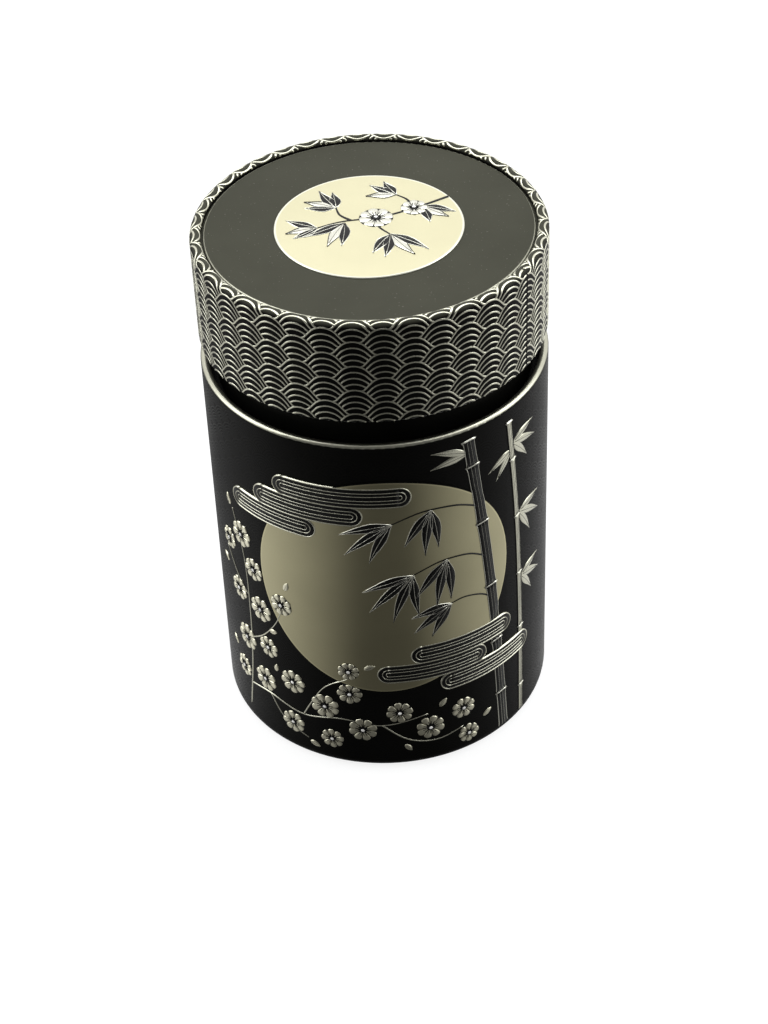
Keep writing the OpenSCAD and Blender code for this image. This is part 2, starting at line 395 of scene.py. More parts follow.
class Nodes:
    """Short names for the shader nodes of one material."""

    def __init__(self, name):
        self.material = bpy.data.materials.new(name)
        self.material.use_nodes = True
        self.tree = self.material.node_tree
        self.tree.nodes.clear()
        self.out = self.tree.nodes.new("ShaderNodeOutputMaterial")
        self.shader = self.tree.nodes.new("ShaderNodeBsdfPrincipled")
        self.tree.links.new(self.shader.outputs[0], self.out.inputs[0])

    def new(self, kind, **values):
        node = self.tree.nodes.new(kind)
        for key, value in values.items():
            setattr(node, key, value)
        return node

    def feed(self, socket, value):
        if hasattr(value, "is_output"):
            self.tree.links.new(value, socket)
        else:
            socket.default_value = value

    def math(self, op, a, b=0.0, c=0.0):
        node = self.new("ShaderNodeMath", operation=op)
        for socket, value in zip(node.inputs, (a, b, c)):
            self.feed(socket, value)
        return node.outputs[0]

    def length(self, a, b):
        """The length of the vector (a, b)."""
        squares = self.math("ADD", self.math("MULTIPLY", a, a), self.math("MULTIPLY", b, b))
        return self.math("SQRT", squares)

    def split(self, vector):
        node = self.new("ShaderNodeSeparateXYZ")
        self.tree.links.new(vector, node.inputs[0])
        return node.outputs

    def where(self):
        """The point in the frame, and its x, y, z and distance from the axis."""
        point = self.new("ShaderNodeTexCoord").outputs["Object"]
        x, y, z = self.split(point)
        return point, x, y, z, self.length(x, y)

    def facing(self, x, y, radial):
        """How much the surface faces away from the axis, and up, each from -1 to 1."""
        nx, ny, nz = self.split(self.new("ShaderNodeNewGeometry").outputs["Normal"])
        along = self.math("ADD", self.math("MULTIPLY", nx, x), self.math("MULTIPLY", ny, y))
        return self.math("DIVIDE", along, self.math("MAXIMUM", radial, NEAR_AXIS)), nz

    def noise(self, vector, scale, detail, rough=0.5, stretch=None):
        if stretch:
            mapping = self.new("ShaderNodeMapping")
            mapping.inputs["Scale"].default_value = stretch
            self.tree.links.new(vector, mapping.inputs["Vector"])
            vector = mapping.outputs["Vector"]
        node = self.new("ShaderNodeTexNoise")
        self.feed(node.inputs["Vector"], vector)
        node.inputs["Scale"].default_value = scale
        node.inputs["Detail"].default_value = detail
        node.inputs["Roughness"].default_value = rough
        return node.outputs["Fac"]

    def span(self, value, lo, hi, out_lo=0.0, out_hi=1.0):
        """value from lo to hi, mapped to out_lo to out_hi and held at both ends."""
        node = self.new("ShaderNodeMapRange")
        for key, number in zip(("From Min", "From Max", "To Min", "To Max"), (lo, hi, out_lo, out_hi)):
            node.inputs[key].default_value = number
        self.feed(node.inputs["Value"], value)
        return node.outputs["Result"]

    def near(self, value, edge, band, out_lo=0.0, out_hi=1.0):
        """The span over a band that lies short of an edge."""
        return self.span(value, edge - band[0], edge - band[1], out_lo, out_hi)

    def rough(self, noise, part, rough, spread):
        """A roughness that follows a noise."""
        return self.span(noise, *part, rough - spread[0], rough + spread[1])

    def mix(self, amount, a, b):
        """Mix of two colours."""
        node = self.new("ShaderNodeMix", data_type="RGBA")
        self.feed(node.inputs[0], amount)
        self.feed(node.inputs[6], a)
        self.feed(node.inputs[7], b)
        return node.outputs[2]

    def mix_value(self, amount, a, b):
        node = self.new("ShaderNodeMix", data_type="FLOAT")
        self.feed(node.inputs[0], amount)
        self.feed(node.inputs[2], a)
        self.feed(node.inputs[3], b)
        return node.outputs[0]

    def mottled(self, noise, colour, dull, part=MIDDLE):
        """A colour that is duller where the noise is low."""
        return self.mix(self.span(noise, *part), shade(colour, dull), colour)

    def bump(self, height, distance):
        node = self.new("ShaderNodeBump")
        node.inputs["Distance"].default_value = distance
        node.inputs["Strength"].default_value = BUMP_STRENGTH
        self.feed(node.inputs["Height"], height)
        self.tree.links.new(node.outputs["Normal"], self.shader.inputs["Normal"])

    def set(self, **values):
        """Sets or links the shader's sockets; underscores stand for spaces."""
        for key, value in values.items():
            self.feed(self.shader.inputs[key.replace("_", " ")], value)


def ghost_waves(n, u, v):
    """0 to 1 on the lines of a small pattern of overlapping waves. A lower row covers the rows above it."""
    radius = GHOST_PITCH / 2
    row = n.math("FLOOR", n.math("DIVIDE", v, GHOST_RISE))
    line = 0.0
    for step in (0, -1, -2):
        k = n.math("ADD", row, float(step))
        shift = n.math("MULTIPLY", n.math("PINGPONG", k, 1.0), radius)
        du = n.math("SUBTRACT", n.math("WRAP", n.math("SUBTRACT", u, shift), GHOST_PITCH, 0.0), radius)
        d = n.length(du, n.math("SUBTRACT", v, n.math("MULTIPLY", k, GHOST_RISE)))
        inside = n.math("LESS_THAN", d, radius)
        band = n.math("FRACT", n.math("MULTIPLY", d, GHOST_RINGS / radius))
        line = n.mix_value(inside, line, n.math("GREATER_THAN", band, GHOST_LINE_FROM))
    return line


# ---------------------------------------------------------------------------
# Finishes

def lacquer_grain(n, point):
    """Orange peel and dust-fine speckle, for the bump of lacquer."""
    peel = n.noise(point, *ORANGE_PEEL)
    return n.math("ADD", peel, n.math("MULTIPLY", n.noise(point, *SPECKLE), SPECKLE_SHARE))


def lacquer(name, base, rough, specular):
    """Satin lacquer with faint cloudiness, orange peel and speckle."""
    n = Nodes(name)
    point = n.where()[0]
    cloud = n.noise(point, *CLOUD)
    n.set(Base_Color=n.mix(n.span(cloud, *UPPER), base, shade(base, CLOUDY)),
          Roughness=n.rough(cloud, MIDDLE, rough, LACQUER_SPREAD),
          Specular_IOR_Level=specular)
    n.bump(lacquer_grain(n, point), LACQUER_BUMP)
    return n.material


def satin_metal(name, colour, rough):
    """Satin metal: fine grain, and faint cloudiness in colour and gloss."""
    n = Nodes(name)
    point = n.where()[0]
    cloud = n.noise(point, *METAL_CLOUD)
    fine = n.noise(point, *FINE_GRAIN)
    n.set(Base_Color=n.mottled(cloud, colour, SATIN_DULL),
          Metallic=1.0,
          Roughness=n.rough(fine, WIDE, rough, SATIN_SPREAD))
    n.bump(fine, METAL_BUMP)
    return n.material


def tinplate(name):
    """Clear-lacquered tinplate: drawn grain along X, a faint spangle and a few handling marks."""
    n = Nodes(name)
    point = n.where()[0]
    grain = n.noise(point, *DRAWN_GRAIN, stretch=DRAWN)
    spangle = n.noise(point, *SPANGLE)
    scuff = n.span(n.noise(point, *SCUFFS, stretch=SCUFF_STRETCH), *SCUFF_PEAKS)
    n.set(Base_Color=n.mottled(spangle, TINPLATE, SATIN_DULL, INNER),
          Metallic=1.0,
          Roughness=n.math("ADD", n.rough(grain, MIDDLE, TINPLATE_ROUGH, TINPLATE_SPREAD),
                           n.math("MULTIPLY", scuff, SCUFF_ROUGH)))
    n.bump(grain, TINPLATE_BUMP)
    return n.material


def turned_metal(name, colour, rough):
    """Metal with the fine rings that turning leaves round the axis."""
    n = Nodes(name)
    point, _, _, z, radial = n.where()
    groove = n.math("SINE", n.math("MULTIPLY", n.math("ADD", radial, z), TAU / TURNED_PITCH))
    cloud = n.noise(point, *TURNED_CLOUD)
    n.set(Base_Color=n.mottled(cloud, colour, TURNED_DULL),
          Metallic=1.0,
          Roughness=n.rough(n.math("ADD", groove, n.math("MULTIPLY", cloud, TURNED_CLOUD_SHARE)),
                            TURNED_SPAN, rough, TURNED_SPREAD))
    n.bump(groove, TURNED_BUMP)
    return n.material


def sheet_finish(name, print_and_light, bare_zone, base=BLACK, cloudy=CLOUDY):
    """Sheet metal with lacquer outside and bare tinplate inside.

    print_and_light(n, point, x, y, z, radial, ground, cloud) gives the colour of the print with any painted
    highlights and sheen, how metallic it is and what it adds to the roughness. bare_zone(n, out, up, z) is 1
    where the tinplate shows.
    """
    n = Nodes(name)
    point, x, y, z, radial = n.where()
    out, up = n.facing(x, y, radial)
    bare = bare_zone(n, out, up, z)
    cloud = n.noise(point, *CLOUD)
    fine = n.noise(point, *FINE_GRAIN)
    grain = n.noise(point, *DRAWN_GRAIN, stretch=DRAWN)
    ground = n.mix(n.span(cloud, *UPPER), base, shade(base, cloudy))
    colour, metal, gloss = print_and_light(n, point, x, y, z, radial, ground, cloud)
    metal = n.math("MAXIMUM", bare, metal)
    n.set(Base_Color=n.mix(bare, colour, n.mottled(cloud, TINPLATE, INSIDE_DULL)),
          Metallic=metal,
          Roughness=n.mix_value(metal, n.math("ADD", gloss, LACQUER_ROUGH),
                                n.rough(fine, WIDE, TINPLATE_ROUGH, INSIDE_SPREAD)),
          Specular_IOR_Level=LACQUER_SPECULAR)
    n.bump(n.mix_value(metal, lacquer_grain(n, point), n.mix_value(bare, fine, grain)), LACQUER_BUMP)
    return n.material


def body_print_and_highlight(n, point, x, y, z, radial, ground, cloud):
    """Ghost waves on the black, the champagne field with a painted rim highlight and a dark edge, the bright
    bead.
    """
    u = n.math("MULTIPLY", n.math("ARCTAN2", x, n.math("MULTIPLY", y, -1.0)), BODY_R)
    d = n.length(u, n.math("SUBTRACT", z, FIELD_Z))
    field = n.near(d, FIELD_R, FIELD_FADE, 1.0, 0.0)
    ghost = n.math("MULTIPLY", ghost_waves(n, u, z), n.span(cloud, *GHOST_CLOUD))
    bead = n.near(z, BODY_TOP, BEAD_FADE)
    moon = n.mottled(cloud, MOON, MOON_DULL)
    # painted highlight: a band inside the field's edge is lighter, as if its embossed step caught the light
    moon = n.mix(n.near(d, FIELD_R, FIELD_RIM_HIGHLIGHT), moon, shade(MOON, MOON_RIM_HIGHLIGHT))
    colour = n.mix(field, n.mix(ghost, ground, GHOST_BLACK), moon)
    colour = n.mix(bead, colour, shade(CHAMPAGNE, BEAD_SHADE))
    return colour, n.math("MAXIMUM", field, bead), n.math("MULTIPLY", ghost, GHOST_GLOSS)


def panel_print_and_highlights(n, point, x, y, z, radial, ground, cloud):
    """The cream field with a painted rim highlight, flecks in the lacquer, a painted highlight on the
    plateau's edge.
    """
    field = n.near(radial, DISC_R, DISC_FADE, 1.0, 0.0)
    # painted highlight: a thin line of dull champagne metal on the plateau's rounded edge
    edge = n.math("MULTIPLY", n.near(radial, PLATEAU_R, PLATEAU_HIGHLIGHT_FADE), n.near(z, DISC_Z, PLATEAU_HIGHLIGHT_TOP_FADE))
    fleck = n.math("MULTIPLY", n.math("GREATER_THAN", n.noise(point, *FLECKS), FLECK_FROM), FLECK_SHARE)
    cream = n.mottled(cloud, CREAM, CREAM_DULL)
    # painted highlight: the cream field is paler in a band inside its raised rim
    cream = n.mix(n.near(radial, DISC_R, DISC_RIM_HIGHLIGHT), cream, CREAM_RIM_HIGHLIGHT)
    colour = n.mix(field, n.mix(fleck, ground, FLECK_GREY), cream)
    colour = n.mix(edge, colour, shade(CHAMPAGNE, PLATEAU_EDGE_HIGHLIGHT))
    return colour, n.math("MAXIMUM", field, edge), 0.0


def plain_print(n, point, x, y, z, radial, ground, cloud):
    return ground, 0.0, 0.0


def skirt_black_and_ring_sheen(n, point, x, y, z, radial, ground, cloud):
    """Black, with painted sheen where the sheet turns up over the ring: there it is as pale as the panel's
    black.
    """
    return n.mix(n.near(z, SKIRT_TOP, RING_SHEEN_FADE), ground, PANEL_BLACK), 0.0, 0.0


def body_bare(n, out, up, z):
    """Bare tinplate on what faces the axis below the bead."""
    inner = n.math("LESS_THAN", out, INWARD)
    return n.math("MULTIPLY", inner, n.math("LESS_THAN", z, BODY_TOP - BEAD_DEPTH))


def panel_bare(n, out, up, z):
    """Bare tinplate on what faces the axis or down: the panel's underside and inside its flange."""
    return n.math("MAXIMUM", n.math("LESS_THAN", out, INWARD), n.math("LESS_THAN", up, DOWNWARD))


def lid_bare(n, out, up, z):
    """The same on the skirt, below the ring's turned-down edge."""
    inner = panel_bare(n, out, up, z)
    return n.math("MULTIPLY", inner, n.math("LESS_THAN", z, SKIRT_TOP - RING_TURN_DEPTH))


def neck_bare(n, out, up, z):
    """Bare tinplate inside the neck and on its curl."""
    return n.math("MAXIMUM", n.math("LESS_THAN", out, INWARD), n.near(z, NECK_TOP, NECK_CURL_FADE))


finishes = {
    "champagne": satin_metal("relief_champagne", CHAMPAGNE, 0.27),
    "petal": satin_metal("relief_petal", PETAL_METAL, 0.32),
    "silver": satin_metal("relief_silver", SILVER, 0.28),
    "black": lacquer("relief_black", RELIEF_BLACK, 0.34, 0.2),
    "white": lacquer("relief_white", EYE_WHITE, 0.35, 0.4),
}

NODE_FINISH = {
    "body_shell": sheet_finish("body_print_and_highlight", body_print_and_highlight, body_bare),
    "base_pan": tinplate("base_tinplate"),
    "neck_collar": sheet_finish("neck_print", plain_print, neck_bare),
    "inner_lid_pan": tinplate("inner_lid_tinplate"),
    "inner_lid_knob": turned_metal("knob_metal", KNOB_METAL, 0.24),
    "knob_rivet": turned_metal("rivet_steel", RIVET_STEEL, 0.3),
    "lid_skirt": sheet_finish("skirt_black_and_ring_sheen", skirt_black_and_ring_sheen, lid_bare),
    "lid_top_panel": sheet_finish("panel_print_and_highlights", panel_print_and_highlights, panel_bare, PANEL_BLACK, PANEL_CLOUDY),
}
for node_name, finish in NODE_FINISH.items():
    for material_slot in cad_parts[node_name].material_slots:
        material_slot.material = finish

# ---------------------------------------------------------------------------
# The waves on the lid: rows of overlapping waves on the sheet, cut by its edges and its seam

WAVES_ROUND = 20
WAVE_PITCH = TAU * SKIRT_R / WAVES_ROUND
WAVE_LINE_GAP = WAVE_PITCH / 8
WAVE_LINES = 4
WAVE_RISE = 2 * WAVE_LINE_GAP
WAVE_LINE_W = 0.41 * MM
WAVE_LINE_H = 0.075 * MM
WAVE_RING_EXTRA = 0.3
WAVE_STEPS = 44
WAVE_SPREAD = 0.86

# Where one crest of row 0 stands, and how far rows and columns reach past it so as to cover the sheet
WAVE_U = 1.76 * MM
WAVE_V = 5.5 * MM
ROWS_BELOW, ROWS_MORE = 4, 2
COLUMNS_LEFT, COLUMNS_RIGHT = WAVES_ROUND - 2, 5

CREST_R = 3.7 * MM
CREST_END = math.radians(50)
MERGE = 1.1 * MM
MERGE_THINS = 0.5
LAP = 0.02 * MM
SEAM_MARGIN = 0.12 * MM
HEM_MARGIN = 0.25 * MM
END_MARGIN = 0.15 * MM


def wave_fall(x):
    """How far a wave's line has fallen at a distance x from its crest: an arc, then straight."""
    x = abs(x)
    end = CREST_R * math.sin(CREST_END)
    if x <= end:
        return CREST_R - math.sqrt(CREST_R ** 2 - x ** 2)
    return CREST_R * (1 - math.cos(CREST_END)) + (x - end) * math.tan(CREST_END)


def below(x):
    """The fall at which the next lower row's crest line lies."""
    return WAVE_RISE + wave_fall(WAVE_PITCH / 2 - abs(x))


def crest_fall(x):
    """The outermost line: it runs out smoothly into the next lower row's crest line."""
    own, other = wave_fall(x), below(x)
    t = clamp(0.5 + 0.5 * (other - own) / MERGE)
    return other + (own - other) * t - MERGE * t * (1 - t)


def wave_line(line):
    """The points (x, fall, width) of one line of a wave, the outermost line first."""
    out = []
    for i in range(WAVE_STEPS + 1):
        x = (i / WAVE_STEPS - 0.5) * WAVE_SPREAD * WAVE_PITCH
        fall = line * WAVE_LINE_GAP + wave_fall(x)
        if line == 0:
            merged = clamp((wave_fall(x) - below(x)) / MERGE)
            out.append((x, crest_fall(x), WAVE_LINE_W * (1 - MERGE_THINS * merged)))
        elif fall < below(x) + LAP:
            out.append((x, fall, WAVE_LINE_W))
    return out


def lay_waves(relief):
    """All rows, each line in the pieces that lie on the sheet. Lines are wider on the shoulder and ring."""
    seam = SEAM_ANGLE * SKIRT_R
    end_u, start_u = seam - SEAM_MARGIN, seam - TAU * SKIRT_R + SEAM_MARGIN
    end_v = LidSkirt.length - END_MARGIN
    lines = [wave_line(line) for line in range(WAVE_LINES)]
    for row in range(-ROWS_BELOW, int(LidSkirt.length / WAVE_RISE) + ROWS_MORE):
        for column in range(-COLUMNS_LEFT, COLUMNS_RIGHT):
            crest_u = WAVE_U + (column + 0.5 * (row % 2)) * WAVE_PITCH
            crest_v = WAVE_V + row * WAVE_RISE
            for line in lines:
                path, widths = [], []
                for x, fall, width in line:
                    u, v = crest_u + x, crest_v - fall
                    if HEM_MARGIN < v < end_v and start_u < u < end_u:
                        over = clamp((v - LidSkirt.wall_len) / LidSkirt.shoulder_len)
                        path.append((u, v))
                        widths.append(width * (1 + WAVE_RING_EXTRA * over))
                    elif path:
                        relief.ridge("champagne", path, widths, WAVE_LINE_H)
                        path, widths = [], []
                if path:
                    relief.ridge("champagne", path, widths, WAVE_LINE_H)


waves = Relief("lid_waves", LidSkirt(), "outer_lid", "skirt_lacquer")
lay_waves(waves)
waves.make(finishes)

# ---------------------------------------------------------------------------
# The garden design, on the wall and on the lid's round field: bamboo, round blossoms and bars of mist.
# Its places, lengths, widths (W) and heights (H) are in millimetres.

# Along a petal, shares of its length and width; along a stamen, a share of the blossom's radius and W
PETALS = 8
PETAL = ((0.0, 0.26), (0.15, 0.48), (0.35, 0.7), (0.58, 0.92), (0.78, 1.0), (0.91, 0.82), (1.0, 0.34))
PETAL_FROM, PETAL_REACH, PETAL_FULL = 0.26, 0.74, 0.80
PETAL_H, PETAL_BASE = 0.22, 0.05
STAMEN = ((0.2, 0.26), (0.3, 0.26), (0.4, 0.26), (0.5, 0.3), (0.58, 0.24))
STAMEN_H = 0.31
PATCH_SHARE, PATCH_H = 1.04, 0.07
RING_SHARE, RING_H = 0.27, 0.32
EYE_R, EYE_H = 0.54, 0.42

# Along a bud, shares of its size for place and width
BUD = ((-0.9, 0.3), (-0.6, 0.9), (-0.1, 1.25), (0.4, 1.1), (0.8, 0.6), (1.1, 0.15))
BUD_H = 0.26
CUP_W, CUP_H = 0.15, 0.3

LEAF_SHARES = (0.06, 0.42, 0.8, 1.0, 0.94, 0.76, 0.5, 0.24, 0.04)
MIDRIB_W, MIDRIB_MORE = 0.17, 0.05
LEAF_EDGE_W, LEAF_EDGE_SHARE, LEAF_EDGE_MORE = 0.2, 0.6, 0.06
TUFT_SHORTER, TUFT_DROOP = 0.13, 14

CULM_H, CULM_FLARE = 0.2, 0.16
CULM_LINES = ((EDGE_SHARE, 0.24, 0.16), (0.14, 0.13, 0.24))
KNOT_REACH, KNOT_W, KNOT_H = 0.62, 0.5, 0.28

MIST_THICK, MIST_H, MIST_STEPS, MIST_TURN_STEPS = 5.2, 0.06, 26, 12
MIST_LINES = ((0.0, 0.38), (1.1, 0.26), (2.0, 0.22))
MIST_LINE_H = 0.14

SPRIG_THINS, SPRIG_H = 0.55, 0.17
MOON_MARGIN = 0.4

LID_LEAF_W, LID_LEAF_H, LID_LEAF_BEND, LID_LEAF_SHORTER = 2.9, 0.15, 0.2, 0.07


def ray(u, v, a, reach):
    """Points at the distances in reach from (u, v), in the direction a."""
    return [(u + math.cos(a) * r, v + math.sin(a) * r) for r in reach]


def blossom(relief, middle, radius, turn, finish="petal"):
    """A round flower: domed petals with dark gaps, stamens, and a white eye in a dark ring."""
    u0, v0 = middle[0] * MM, middle[1] * MM
    radius *= MM
    relief.disc("black", (u0, v0), radius * PATCH_SHARE, PATCH_H * MM, flat=0.9, count=40)
    full = PETAL_FULL * radius * TAU / PETALS
    for k in range(PETALS):
        reach = [radius * (PETAL_FROM + PETAL_REACH * t) for t, _ in PETAL]
        widths = [full * share for _, share in PETAL]
        relief.ridge(finish, ray(u0, v0, turn + TAU * k / PETALS, reach), widths, PETAL_H * MM,
                     base=PETAL_BASE * MM, profile=ROUND)
    for k in range(2 * PETALS):
        reach = [radius * share for share, _ in STAMEN]
        relief.ridge("black", ray(u0, v0, turn + TAU * (k + 0.5) / (2 * PETALS), reach),
                     [width * MM for _, width in STAMEN], STAMEN_H * MM)
    relief.disc("black", (u0, v0), radius * RING_SHARE, RING_H * MM, flat=0.6, count=20)
    relief.disc("white", (u0, v0), EYE_R * MM, EYE_H * MM, flat=0.6, count=16)


def bud(relief, middle, angle, size):
    """A pointed bud with a dark cup line."""
    u0, v0 = middle[0] * MM, middle[1] * MM
    ca, sa = math.cos(angle), math.sin(angle)
    path = [(u0 + ca * size * MM * t, v0 + sa * size * MM * t) for t, _ in BUD]
    relief.ridge("petal", path, [size * MM * share for _, share in BUD], BUD_H * MM, profile=ROUND)
    relief.ridge("black", path[1:4], CUP_W * MM, CUP_H * MM)


def leaf(relief, root, angle, length, width, bend, finish, line, edge=None, height=0.16):
    """A bamboo leaf: a bent blade with a midrib, and an outline if edge names its finish."""
    u, v = root
    path = [(u * MM, v * MM)]
    count = len(LEAF_SHARES) - 1
    for i in range(count):
        a = angle + bend * (i / count)
        u += math.cos(a) * length / count
        v += math.sin(a) * length / count
        path.append((u * MM, v * MM))
    widths = [width * MM * s for s in LEAF_SHARES]
    relief.ridge(finish, path, widths, height * MM, profile=ROUND)
    relief.ridge(line, path[1:-1], MIDRIB_W * MM, (height + MIDRIB_MORE) * MM)
    if edge:
        edge_height = (LEAF_EDGE_SHARE * height + LEAF_EDGE_MORE) * MM
        for side in sides(path, widths):
            relief.ridge(edge, side, LEAF_EDGE_W * MM, edge_height)


def leaf_tuft(relief, root, angles, length, finish, line, edge=None, width=2.6):
    """Leaves from one point, in degrees, the middle ones longest, each drooping at its tip."""
    middle = (len(angles) - 1) / 2
    for i, angle in enumerate(angles):
        droop = math.radians(-TUFT_DROOP if -90 < angle < 90 else TUFT_DROOP)
        leaf(relief, root, math.radians(angle), length * (1 - TUFT_SHORTER * abs(i - middle)), width, droop,
             finish, line, edge)


def on_moon(u, v):
    """Whether a point lies on the wall's round field, with a margin."""
    return math.hypot(u, v - FIELD_Z / MM) < FIELD_R / MM - MOON_MARGIN


def culm(relief, points, width, joints, finish, line, knot):
    """A bamboo stem of separate joints with outlines, fine inner lines and a raised ring at each joint."""
    path = curve(points, steps=24)
    cuts = [0] + [int(len(path) * j) for j in joints] + [len(path) - 1]
    for a, b in zip(cuts, cuts[1:]):
        part = path[a:b + 1]
        last = len(part) - 1
        widths = [width * MM * (1.0 + CULM_FLARE * abs(2 * i / last - 1) ** 8) for i in range(len(part))]
        relief.ridge(finish, part, widths, CULM_H * MM, profile=ROUND)
        for share, thick, height in CULM_LINES:
            for side in sides(part, widths, share):
                relief.ridge(line, side, thick * MM, height * MM)
        (u0, v0), (u1, v1) = part[-2:]
        half = width * KNOT_REACH * MM / math.hypot(u1 - u0, v1 - v0)
        across = [(u1 - (v1 - v0) * half * t, v1 + (u1 - u0) * half * t) for t in (-1, -0.5, 0, 0.5, 1)]
        relief.ridge(knot, across, KNOT_W * MM, KNOT_H * MM)


def half_turn(u, v, r, start):
    """Points of half a circle about (u, v), from an angle."""
    angles = [start + math.pi * k / MIST_TURN_STEPS for k in range(MIST_TURN_STEPS + 1)]
    return [((u + r * math.cos(a)) * MM, (v + r * math.sin(a)) * MM) for a in angles]


def mist(relief, bars):
    """Bars of mist with round ends, each black with a bright outline and fine inner lines.

    They lie evenly at the height of the field, so that they cross its edge without a step.
    """
    even = Wall(even=True)
    r = MIST_THICK / 2
    for u0, u1, v in bars:
        run = [u0 + (u1 - u0) * i / MIST_STEPS for i in range(MIST_STEPS + 1)]
        dark, bright = relief.mesh("black"), relief.mesh("champagne")
        ridge(dark, even, [(u * MM, v * MM) for u in run], MIST_THICK * MM, MIST_H * MM, profile=FLAT)
        for end in (u0, u1):
            disc(dark, even, (end * MM, v * MM), r * MM, MIST_H * MM, flat=0.92, count=28)
        for inset, line in MIST_LINES:
            reach = r - inset
            loop = half_turn(u0, v, reach, math.pi / 2)
            loop += [(u * MM, (v - reach) * MM) for u in run[1:-1]]
            loop += half_turn(u1, v, reach, -math.pi / 2)
            loop += [(u * MM, (v + reach) * MM) for u in run[-2::-1]]
            ridge(bright, even, loop, line * MM, MIST_LINE_H * MM)


def sprig(relief, points, width=0.55, finish="champagne"):
    """A bare stem that thins towards its tip."""
    path = curve(points)
    count = len(path) - 1
    widths = [width * MM * (1 - SPRIG_THINS * i / count) for i in range(count + 1)]
    relief.ridge(finish, path, widths, SPRIG_H * MM)


wall = Relief("wall_design", Wall(), "body", "body_lacquer")

# Each bar's two ends and its height
mist(wall, ((-29, -7, 79.3), (-37, -18, 74.1), (-23, 4, 84.5),
            (8, 30, 36.6), (0, 22, 31.4), (15, 37, 26.2)))

culm(wall, ((30.5, 3), (28.4, 30), (25.0, 62), (20.5, 95.5)), 3.0, (0.17, 0.36, 0.56, 0.75, 0.9),
     "black", "silver", "silver")
culm(wall, ((37.5, 3), (37.0, 35), (35.5, 66), (32.5, 94.5)), 1.8, (0.12, 0.29, 0.47, 0.66, 0.84),
     "champagne", "black", "silver")

# Twigs and leaves of the two stems of bamboo
for stem in (((25.6, 60), (20, 63.5), (13, 64), (6.5, 61.5)),
             ((23.4, 76), (17, 79), (9, 79.5), (2, 77)),
             ((27.6, 46), (23.6, 49.5), (19, 51), (15.5, 50.5))):
    sprig(wall, stem, 0.7, "black" if on_moon(*stem[2]) else "champagne")
for root, angles, length in (((6.5, 61.5), (-166, -141, -116, -91), 15.5),
                             ((14.5, 64.1), (-134, -107, -80), 14.0),
                             ((2, 77), (-172, -147, -122), 14.0), ((11, 79.6), (-130, -103, -76), 13.0),
                             ((15.5, 50.5), (-174, -150, -126), 11.5)):
    leaf_tuft(wall, root, angles, length, "black", "silver", "silver")
for root, angles, length in (((36.0, 66.5), (-52, -22, 8), 11.5), ((37.0, 46.5), (-48, -16, 14), 10.5),
                             ((33.5, 88), (-42, -12, 18), 10.5), ((33.6, 86.6), (196, 224), 9.0),
                             ((20.8, 92), (158, 184), 10.5)):
    leaf_tuft(wall, root, angles, length, "champagne", "black", width=2.3)

# Stems, blossoms and buds of the flowers
for stem in (((-41, 6), (-38.5, 22), (-37.5, 38), (-38, 55), (-41.5, 68)),
             ((-38.2, 30), (-33, 34), (-28, 41), (-24.5, 50)),
             ((-39.8, 14), (-32, 15.5), (-22, 14), (-12, 15.8), (-2, 14.5), (9, 17)),
             ((-22, 14), (-19, 20), (-15.5, 25.5), (-9, 30)),
             ((-2, 14.5), (4, 9.5), (11, 7.8), (18, 9.5)),
             ((-32, 15.5), (-28, 10), (-21, 6.5)),
             ((-37.7, 44), (-42, 48), (-46, 54))):
    sprig(wall, stem)
for middle, radius, turn in (((-38.4, 62), 3.5, 0.2), ((-44.5, 57), 2.9, 0.6), ((-34.6, 53.5), 3.1, 0.1),
                             ((-41.5, 43.5), 3.2, 0.4), ((-33.2, 42), 3.5, 0.3), ((-26, 47.5), 3.0, 0.5),
                             ((-39.8, 29), 3.6, 0.0), ((-31.5, 31), 3.0, 0.3), ((-42.6, 17.5), 3.0, 0.2),
                             ((-33.5, 19.5), 3.5, 0.5), ((-24.5, 23.5), 3.4, 0.1), ((-16.0, 19.0), 3.6, 0.4),
                             ((-25.2, 10.0), 3.2, 0.2), ((-9.6, 24.5), 3.1, 0.0), ((-6.8, 13.0), 3.5, 0.3),
                             ((2.2, 18.6), 3.2, 0.15), ((9.6, 12.4), 3.5, 0.5), ((18.2, 15.6), 3.1, 0.35),
                             ((-14.6, 8.6), 2.9, 0.1), ((19.6, 6.6), 2.8, 0.0), ((-9.5, 32), 2.6, 0.4)):
    blossom(wall, middle, radius, turn)
for middle, angle, size in (((-43, 69.6), 1.9, 1.5), ((-47.5, 49), 2.6, 1.4), ((-24.2, 53.8), 1.2, 1.4),
                            ((-29.6, 37), 0.2, 1.3), ((-4.6, 33.6), 0.4, 1.4), ((12.8, 19.4), 0.9, 1.4),
                            ((-19.4, 5.2), -0.4, 1.4), ((4.0, 6.8), -0.9, 1.3), ((25, 10.4), 0.5, 1.4),
                            ((-46.6, 23), 2.4, 1.4), ((-29.4, 25.4), 1.4, 1.2)):
    bud(wall, middle, angle, size)
wall.make(finishes)

